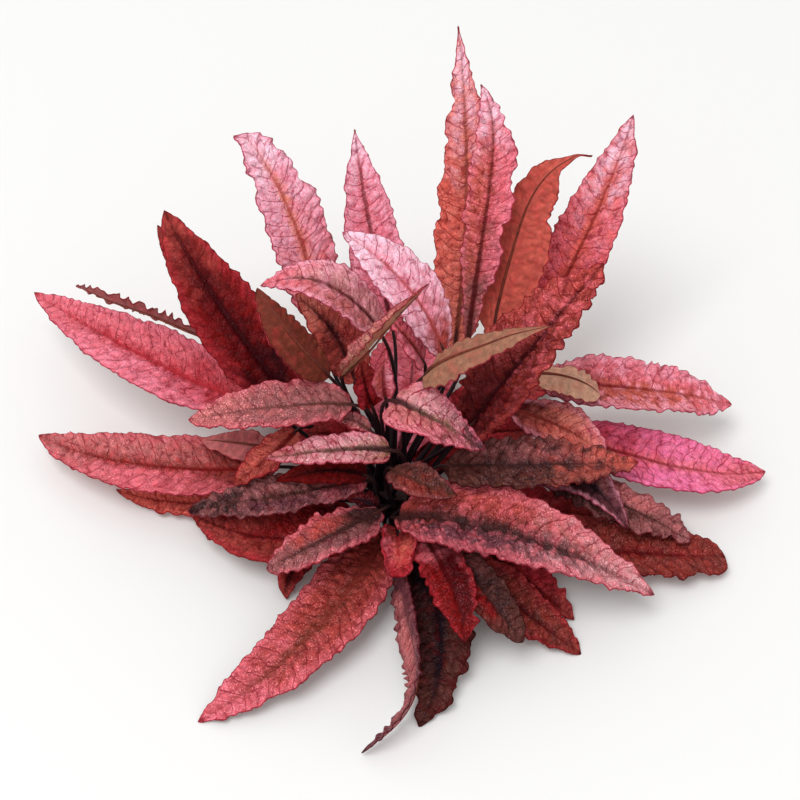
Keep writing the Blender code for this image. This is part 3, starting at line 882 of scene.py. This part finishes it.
def connect(tree, socket, value):
    """Links a socket to another one, or sets it to a plain value."""
    if isinstance(value, bpy.types.NodeSocket):
        tree.links.new(value, socket)
    elif hasattr(value, "__len__") and len(value) == 3 and socket.type == "RGBA":
        socket.default_value = (*value, 1)
    else:
        socket.default_value = value


def calculate(tree, operation, *values):
    """The result of a Math node."""
    made = tree.nodes.new("ShaderNodeMath")
    made.operation = operation
    for socket, value in zip(made.inputs, values):
        connect(tree, socket, value)
    return made.outputs[0]


def times(tree, first, second):
    return calculate(tree, "MULTIPLY", first, second)


def rising(tree, value, rise, start):
    """The start plus the value's share of the rise."""
    return calculate(tree, "MULTIPLY_ADD", value, rise, start)


def ramp(tree, value, low, high):
    """A smooth rise from 0 at the low value to 1 at the high one."""
    made = tree.nodes.new("ShaderNodeMapRange")
    made.interpolation_type = "SMOOTHSTEP"
    for name, given in (("Value", value), ("From Min", low), ("From Max", high)):
        connect(tree, made.inputs[name], given)
    return made.outputs["Result"]


def mix(tree, share, first, second, blend="MIX"):
    """The first colour with a share of the second mixed in."""
    made = tree.nodes.new("ShaderNodeMix")
    made.data_type = "RGBA"
    made.blend_type = blend
    made.clamp_result = True
    for index, given in ((0, share), (6, first), (7, second)):
        connect(tree, made.inputs[index], given)
    return made.outputs[2]


def attribute(tree, name, output="Fac"):
    made = tree.nodes.new("ShaderNodeAttribute")
    made.attribute_name = name
    return made.outputs[output]


def clouds(tree, vector, size, detail=2, output="Fac"):
    """Soft noise with blobs of a size, in the units of the vector."""
    made = tree.nodes.new("ShaderNodeTexNoise")
    connect(tree, made.inputs["Vector"], vector)
    made.inputs["Scale"].default_value = 1 / size
    made.inputs["Detail"].default_value = detail
    return made.outputs[output]


def broken(tree, line, vector, size, low, high):
    """A line that noise of a size breaks up."""
    return times(tree, line, ramp(tree, clouds(tree, vector, size), low, high))


def scaled(tree, colour, factor):
    """A colour made lighter or darker by a factor."""
    made = tree.nodes.new("ShaderNodeVectorMath")
    made.operation = "SCALE"
    connect(tree, made.inputs[0], colour)
    connect(tree, made.inputs["Scale"], factor)
    return made.outputs[0]


def cell_seams(tree, vector, size):
    """Distance from the seams between cells of a size, in the units of the vector."""
    made = tree.nodes.new("ShaderNodeTexVoronoi")
    made.voronoi_dimensions = "2D"
    made.feature = "DISTANCE_TO_EDGE"
    connect(tree, made.inputs["Vector"], vector)
    made.inputs["Scale"].default_value = 1 / size
    return made.outputs["Distance"]


def warped(tree, vector, size, amount):
    """A vector that noise of a size moves about by up to an amount."""
    moved = tree.nodes.new("ShaderNodeVectorMath")
    moved.operation = "MULTIPLY_ADD"
    connect(tree, moved.inputs[0], clouds(tree, vector, size, 1, "Color"))
    moved.inputs[1].default_value = (amount, amount, 0)
    connect(tree, moved.inputs[2], vector)
    return moved.outputs[0]


# Inputs of the tissue group, the tint of its lines, and the gain and the painted glint of its pale
# dots
TISSUE_COLOURS = ("Left", "Right", "Core", "Base", "Tip", "Patches", "Edge", "Midrib")
TISSUE_VALUES = ("Base Reach", "Core Width", "Patchiness", "Speckles", "Vein Strength", "Groove")
VEIN_TINT = (0.45, 0.1, 0.17)
SPECK_GAIN = 1.9
SPECK_GLINT = (0.09, 0.09, 0.11)


def tissue_group():
    """The group that colours a blade from its attributes, built once."""
    found = bpy.data.node_groups.get("Leaf tissue")
    if found:
        return found
    tree = bpy.data.node_groups.new("Leaf tissue", "ShaderNodeTree")
    for name in TISSUE_COLOURS:
        tree.interface.new_socket(name, in_out="INPUT", socket_type="NodeSocketColor")
    for name in TISSUE_VALUES:
        tree.interface.new_socket(name, in_out="INPUT", socket_type="NodeSocketFloat")
    for name, kind in (("Color", "Color"), ("Roughness", "Float"), ("Height", "Float")):
        tree.interface.new_socket(name, in_out="OUTPUT", socket_type=f"NodeSocket{kind}")
    given = tree.nodes.new("NodeGroupInput").outputs
    across, along = attribute(tree, "across"), attribute(tree, "along")
    spot = attribute(tree, "spot", "Vector")
    wavy = warped(tree, spot, 1.2, 0.7)

    # Side veins, the edges of the cushions between them and the finest net
    wobble = times(tree, clouds(tree, spot, 1.6), 0.22)
    number = calculate(tree, "ADD", wobble, attribute(tree, "veins"))
    main = ramp(tree, calculate(tree, "PINGPONG", number, 0.5), 0.06, 0.015)
    main = broken(tree, main, spot, 2.2, 0.3, 0.5)
    cushion = rising(tree, clouds(tree, spot, 0.8, 1), 0.12, attribute(tree, "cushion"))
    seams = broken(tree, ramp(tree, cushion, 0.16, 0.1), spot, 3, 0.34, 0.58)
    small = cell_seams(tree, wavy, 1.5)
    net = broken(tree, ramp(tree, small, 0.08, 0.04), wavy, 2, 0.38, 0.62)
    veins = calculate(tree, "MAXIMUM", main, times(tree, seams, 0.85))
    veins = calculate(tree, "MAXIMUM", veins, times(tree, net, 0.55))

    # Midrib, rim and dark tip
    straight = tree.nodes.new("ShaderNodeSeparateXYZ")
    connect(tree, straight.inputs[0], spot)
    sideways = calculate(tree, "ABSOLUTE", straight.outputs["X"])
    width = times(tree, rising(tree, along, -1.1, 1.4), given["Groove"])
    midrib = ramp(tree, sideways, width, times(tree, width, 0.25))
    rim = ramp(tree, attribute(tree, "margin"), 0.42, 0.12)
    point = ramp(tree, along, 0.965, 0.99)

    # Ground colour
    drift = rising(tree, clouds(tree, spot, 7, 3), 0.7, -0.35)
    place_along = calculate(tree, "ADD", along, drift)
    uneven = rising(tree, clouds(tree, spot, 3, 3), 0.6, calculate(tree, "ABSOLUTE", across))
    core = ramp(tree, uneven, calculate(tree, "ADD", given["Core Width"], 0.4), 0.25)
    base = ramp(tree, place_along, given["Base Reach"], 0)
    layers = {
        "Left": ramp(tree, across, -0.1, 0.1),
        "Tip": ramp(tree, place_along, 0.45, 0.92),
        "Core": times(tree, core, ramp(tree, along, 1, 0.6)),
        "Patches": times(tree, ramp(tree, clouds(tree, spot, 4, 4), 0.46, 0.62), given["Patchiness"]),
        "Base": base,
        "Edge": times(tree, ramp(tree, uneven, 0.85, 1.25), 0.5),
    }
    colour = given["Right"]
    for name, share in layers.items():
        colour = mix(tree, share, colour, given[name])

    # Uneven tone at random, painted shade in the seams between the cushions, and pale dots between the
    # veins, partly the leaf's own flecks and partly painted glints
    shade = rising(tree, clouds(tree, spot, 2, 4), 1.1, 0.37)
    # Painted shade: darker in the seams between the cushions and lighter in their middles
    seam_shade = rising(tree, ramp(tree, cushion, 0.5, 0.05), -0.25, 1.2)
    colour = scaled(tree, colour, times(tree, shade, seam_shade))
    # Colour of the pale dots: the leaf's colour made brighter, with a painted glint added
    light = mix(tree, 1, scaled(tree, colour, SPECK_GAIN), SPECK_GLINT, "ADD")
    # Where the pale dots go: partly the leaf's own flecks, partly painted glints of wet shine
    flecks_and_glints = ramp(tree, clouds(tree, spot, 0.48, 1), 0.54, 0.62)
    flecks_and_glints = times(tree, flecks_and_glints, given["Speckles"])
    flecks_and_glints = times(tree, flecks_and_glints, ramp(tree, clouds(tree, spot, 2.5, 1), 0.3, 0.6))
    flecks_and_glints = times(tree, flecks_and_glints, rising(tree, base, -0.7, 1))
    colour = mix(tree, flecks_and_glints, colour, light)

    # Darker lines
    tinted = mix(tree, 1, colour, VEIN_TINT, "MULTIPLY")
    colour = mix(tree, times(tree, veins, given["Vein Strength"]), colour, tinted)
    midrib = times(tree, midrib, rising(tree, along, -0.7, 0.95))
    colour = mix(tree, midrib, colour, given["Midrib"])
    tinted = mix(tree, 1, colour, VEIN_TINT, "MULTIPLY")
    colour = mix(tree, times(tree, rim, 0.9), colour, tinted)
    colour = mix(tree, times(tree, point, 0.85), colour, tinted)

    # Small cushions between the veins
    height = times(tree, main, -0.15)
    height = rising(tree, ramp(tree, small, 0, 0.35), 0.1, height)
    height = rising(tree, clouds(tree, spot, 0.5), 0.16, height)
    out = tree.nodes.new("NodeGroupOutput").inputs
    connect(tree, out["Color"], colour)
    connect(tree, out["Roughness"], rising(tree, clouds(tree, spot, 1.5), 0.3, 0.25))
    connect(tree, out["Height"], height)
    return tree


def plain_material(name):
    """A new material, its node tree and its shader."""
    made = bpy.data.materials.new(name)
    made.use_nodes = True
    return made, made.node_tree, made.node_tree.nodes["Principled BSDF"]


def paint(tree, shader, colour, roughness, height):
    """Gives a shader its colour, its roughness and bumps of a height in millimetres."""
    made = tree.nodes.new("ShaderNodeBump")
    made.inputs["Distance"].default_value = MM
    connect(tree, made.inputs["Height"], height)
    connect(tree, shader.inputs["Normal"], made.outputs["Normal"])
    connect(tree, shader.inputs["Base Color"], colour)
    connect(tree, shader.inputs["Roughness"], roughness)


def tissue_material(name, values, relief=1):
    """A material that colours a blade with the tissue group, relief being a share of its bumps."""
    made, tree, shader = plain_material(name)
    group = tree.nodes.new("ShaderNodeGroup")
    group.node_tree = tissue_group()
    for socket, value in values.items():
        connect(tree, group.inputs[socket], value)
    height = times(tree, group.outputs["Height"], relief)
    paint(tree, shader, group.outputs["Color"], group.outputs["Roughness"], height)
    shader.inputs["Specular IOR Level"].default_value = 0.06
    shader.inputs["Subsurface Weight"].default_value = 0.3
    shader.inputs["Subsurface Radius"].default_value = (1, 0.4, 0.4)
    shader.inputs["Subsurface Scale"].default_value = MM
    return made


def leaf_material(look_name, colours):
    """The upper side of the leaves of a look."""
    name = f"{look_name} leaf"
    if name in bpy.data.materials:
        return bpy.data.materials[name]
    chosen = LOOKS[look_name]
    values = {socket: getattr(colours, getattr(chosen, socket.lower())) for socket in TISSUE_COLOURS}
    for socket in TISSUE_VALUES:
        values[socket] = getattr(chosen, socket.lower().replace(" ", "_"))
    return tissue_material(name, values)


def underside_material(look_name, colours):
    """The smoother lower side of the leaves of a look."""
    below = LOOKS[look_name].below
    name = f"{below} underside"
    if name in bpy.data.materials:
        return bpy.data.materials[name]
    values = dict.fromkeys(TISSUE_COLOURS, getattr(colours, below))
    values.update({
        "Patches": colours.crimson,
        "Base Reach": 0.3,
        "Core Width": 0.3,
        "Patchiness": 0.25,
        "Speckles": 0.1,
        "Vein Strength": 0.08,
        "Groove": 1,
    })
    return tissue_material(name, values, relief=0.3)


def stalk_material(colours):
    """Stalks and midribs, nearly black at the crown and dusty brown under the blade."""
    if "stalk" in bpy.data.materials:
        return bpy.data.materials["stalk"]
    made, tree, shader = plain_material("stalk")
    along, spot = attribute(tree, "along"), attribute(tree, "spot", "Vector")
    colour = mix(tree, ramp(tree, along, 0.7, 1.1), scaled(tree, colours.ink, 0.6), colours.bark)
    colour = mix(tree, ramp(tree, along, 0.95, 1.25), colour, colours.clay)
    streaks = ramp(tree, clouds(tree, spot, 0.5, 3), 0.4, 0.7)
    colour = mix(tree, times(tree, streaks, 0.5), colour, colours.garnet)
    paint(tree, shader, colour, rising(tree, streaks, 0.2, 0.35), times(tree, streaks, 0.05))
    shader.inputs["Specular IOR Level"].default_value = 0.15
    return made


def crown_material(colours):
    """The crown's dark skin, fibrous between its leaf scars."""
    made, tree, shader = plain_material("crown skin")
    spot = tree.nodes.new("ShaderNodeTexCoord").outputs["Object"]
    fibres = clouds(tree, spot, 0.8 * MM, 4)
    colour = mix(tree, ramp(tree, fibres, 0.4, 0.7), colours.ink, colours.umber)
    paint(tree, shader, colour, rising(tree, fibres, 0.3, 0.35), times(tree, fibres, 0.3))
    return made


def cut_material(colours):
    """The flat cut below: pale flesh in rings around a darker core."""
    made, tree, shader = plain_material("crown cut")
    spot = tree.nodes.new("ShaderNodeTexCoord").outputs["Object"]
    length = tree.nodes.new("ShaderNodeVectorMath")
    length.operation = "LENGTH"
    connect(tree, length.inputs[0], spot)
    distance = length.outputs["Value"]
    grain = clouds(tree, spot, 0.6 * MM, 3)
    radius = CROWN_RADIUS * MM
    ring = ramp(tree, distance, 0.62 * radius, 0.7 * radius)
    colour = mix(tree, ring, colours.tan, colours.mauve)
    colour = mix(tree, ramp(tree, distance, 0.82 * radius, radius), colour, colours.ink)
    colour = mix(tree, ramp(tree, grain, 0.5, 0.7), colour, colours.olive)
    paint(tree, shader, colour, rising(tree, grain, 0.3, 0.5), times(tree, grain, 0.15))
    return made


def crown_radius(z):
    """The crown's radius at a height, with the scars of old leaves as shallow rings."""
    shoulder = smooth(z, CROWN_SHOULDER, CROWN_TOP)
    plain = CROWN_RADIUS + (CROWN_TOP_RADIUS - CROWN_RADIUS) * shoulder
    scar = SCAR_DEPTH * (1 - math.sqrt(abs(math.sin(math.pi * z / SCAR_SPACING))))
    corner = CUT_CORNER_DEPTH * (1 - smooth(z, 0, CUT_CORNER))
    return plain - scar - corner


def make_crown(colours):
    """The short stem: a flat cut below, sides ringed with leaf scars and a narrowing top."""
    mesh = bmesh.new()
    heights = [CROWN_TOP * k / CROWN_RINGS for k in range(CROWN_RINGS + 1)]
    profile = [(0, 0)] + [(crown_radius(z), z) for z in heights] + [(0, CROWN_TOP + CROWN_DOME)]
    points = [mesh.verts.new((x * MM, 0, z * MM)) for x, z in profile]
    edges = [mesh.edges.new(pair) for pair in zip(points, points[1:])]
    bmesh.ops.spin(
        mesh,
        geom=points + edges,
        axis=(0, 0, 1),
        cent=(0, 0, 0),
        angle=2 * math.pi,
        steps=CROWN_SIDES,
        use_merge=True,
    )
    bmesh.ops.remove_doubles(mesh, verts=mesh.verts, dist=MERGE_GAP * MM)
    bmesh.ops.recalc_face_normals(mesh, faces=mesh.faces)
    for vertex in mesh.verts:
        lump = noise.noise(vertex.co / (LUMP_SIZE * MM)) * LUMP_HEIGHT * MM
        outwards = Vector((vertex.co.x, vertex.co.y, 0)).normalized()
        vertex.co += outwards * lump * smooth(vertex.co.z, 0, LUMP_START * MM)
    for face in mesh.faces:
        face.material_index = int(face.calc_center_median().z < MERGE_GAP * MM)
    finish_piece("crown_stem", mesh, (crown_material(colours), cut_material(colours)), "crown")


def floor_material(settings):
    made, _, shader = plain_material("floor")
    shader.inputs["Base Color"].default_value = (*settings.floor_colour, 1)
    shader.inputs["Roughness"].default_value = 0.9
    shader.inputs["Specular IOR Level"].default_value = 0.1
    return made


def make_floor(settings):
    mesh = bmesh.new()
    bmesh.ops.create_grid(mesh, x_segments=1, y_segments=1, size=settings.floor_size / 2)
    made = mesh_object("floor", mesh, (floor_material(settings),))


def make_light(settings, target):
    data = bpy.data.lights.new("key light", "AREA")
    data.energy = settings.key_power
    data.size = KEY_SIZE
    made = add_object("key light", data)
    made.location = KEY_PLACE
    made.rotation_euler = (target - made.location).to_track_quat("-Z", "Y").to_euler()


def make_camera(settings, target):
    data = bpy.data.cameras.new("camera")
    data.lens = settings.camera_lens
    data.sensor_width = SENSOR_WIDTH
    data.clip_start = NEAREST
    made = add_object("camera", data)
    rise = settings.camera_elevation
    made.location = target + Vector((0, -math.cos(rise), math.sin(rise))) * settings.camera_distance
    made.rotation_euler = (math.pi / 2 - rise, 0, 0)
    bpy.context.scene.camera = made


def make_sky(settings):
    scene = bpy.context.scene
    scene.world = bpy.data.worlds.new("sky")
    scene.world.use_nodes = True
    background = scene.world.node_tree.nodes["Background"]
    background.inputs["Color"].default_value = (1, 1, 1, 1)
    background.inputs["Strength"].default_value = settings.sky_strength
    scene.view_settings.view_transform = "Standard"


class LeafOperator:
    """What the operators for groups of leaves share."""

    bl_options = {"REGISTER", "UNDO"}
    leaves = ()

    def execute(self, context):
        scene = context.scene
        for leaf in self.leaves:
            make_leaf(leaf, scene.leaf_sizes, scene.plant_colours)
        return {"FINISHED"}


class MakeBackLeaves(LeafOperator, bpy.types.Operator):
    """Make the tall leaves at the back and the low ones behind them"""

    bl_idname = "cryptocoryne.back_leaves"
    bl_label = "Back Leaves"
    leaves = BACK_LEAVES


class MakeRightLeaves(LeafOperator, bpy.types.Operator):
    """Make the leaves at the right"""

    bl_idname = "cryptocoryne.right_leaves"
    bl_label = "Right Leaves"
    leaves = RIGHT_LEAVES


class MakeFrontLeaves(LeafOperator, bpy.types.Operator):
    """Make the leaves at the front"""

    bl_idname = "cryptocoryne.front_leaves"
    bl_label = "Front Leaves"
    leaves = FRONT_LEAVES


class MakeLeftLeaves(LeafOperator, bpy.types.Operator):
    """Make the leaves at the left"""

    bl_idname = "cryptocoryne.left_leaves"
    bl_label = "Left Leaves"
    leaves = LEFT_LEAVES


class MakeCentreLeaves(LeafOperator, bpy.types.Operator):
    """Make the upright leaves in the middle"""

    bl_idname = "cryptocoryne.centre_leaves"
    bl_label = "Centre Leaves"
    leaves = CENTRE_LEAVES


class MakeYoungLeaves(LeafOperator, bpy.types.Operator):
    """Make the young leaves around the crown"""

    bl_idname = "cryptocoryne.young_leaves"
    bl_label = "Young Leaves"
    leaves = YOUNG_LEAVES


class MakeCrown(bpy.types.Operator):
    """Make the short stem that carries the stalks"""

    bl_idname = "cryptocoryne.crown"
    bl_label = "Crown"
    bl_options = {"REGISTER", "UNDO"}

    def execute(self, context):
        make_crown(context.scene.plant_colours)
        return {"FINISHED"}


class MakeStage(bpy.types.Operator):
    """Make the floor, the light, the sky and the camera"""

    bl_idname = "cryptocoryne.stage"
    bl_label = "Stage"
    bl_options = {"REGISTER", "UNDO"}

    def execute(self, context):
        settings = context.scene.stage_settings
        target = Vector(AIM) * MM
        make_floor(settings)
        make_light(settings, target)
        make_camera(settings, target)
        make_sky(settings)
        return {"FINISHED"}


OPERATORS = (
    MakeCrown,
    MakeBackLeaves,
    MakeRightLeaves,
    MakeFrontLeaves,
    MakeLeftLeaves,
    MakeCentreLeaves,
    MakeYoungLeaves,
    MakeStage,
)


class PlantPanel(bpy.types.Panel):
    """The sidebar panel with the settings and a button for each operator"""

    bl_idname = "VIEW3D_PT_cryptocoryne"
    bl_label = "Cryptocoryne"
    bl_space_type = "VIEW_3D"
    bl_region_type = "UI"
    bl_category = "Cryptocoryne"

    def draw(self, context):
        scene = context.scene
        for settings in (scene.leaf_sizes, scene.plant_colours, scene.stage_settings):
            box = self.layout.box()
            for name in settings.bl_rna.properties.keys():
                if name not in ("rna_type", "name"):
                    box.prop(settings, name)
        for operator in OPERATORS:
            self.layout.operator(operator.bl_idname)


CLASSES = (LeafSizes, PlantColours, StageSettings, *OPERATORS, PlantPanel)


def register():
    for made in CLASSES:
        bpy.utils.register_class(made)
    bpy.types.Scene.leaf_sizes = PointerProperty(type=LeafSizes)
    bpy.types.Scene.plant_colours = PointerProperty(type=PlantColours)
    bpy.types.Scene.stage_settings = PointerProperty(type=StageSettings)


def unregister():
    del bpy.types.Scene.stage_settings
    del bpy.types.Scene.plant_colours
    del bpy.types.Scene.leaf_sizes
    for made in reversed(CLASSES):
        bpy.utils.unregister_class(made)


def main():
    register()
    for operator in OPERATORS:
        group, name = operator.bl_idname.split(".")
        getattr(getattr(bpy.ops, group), name)()
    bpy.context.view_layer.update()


if __name__ == "__main__":
    main()
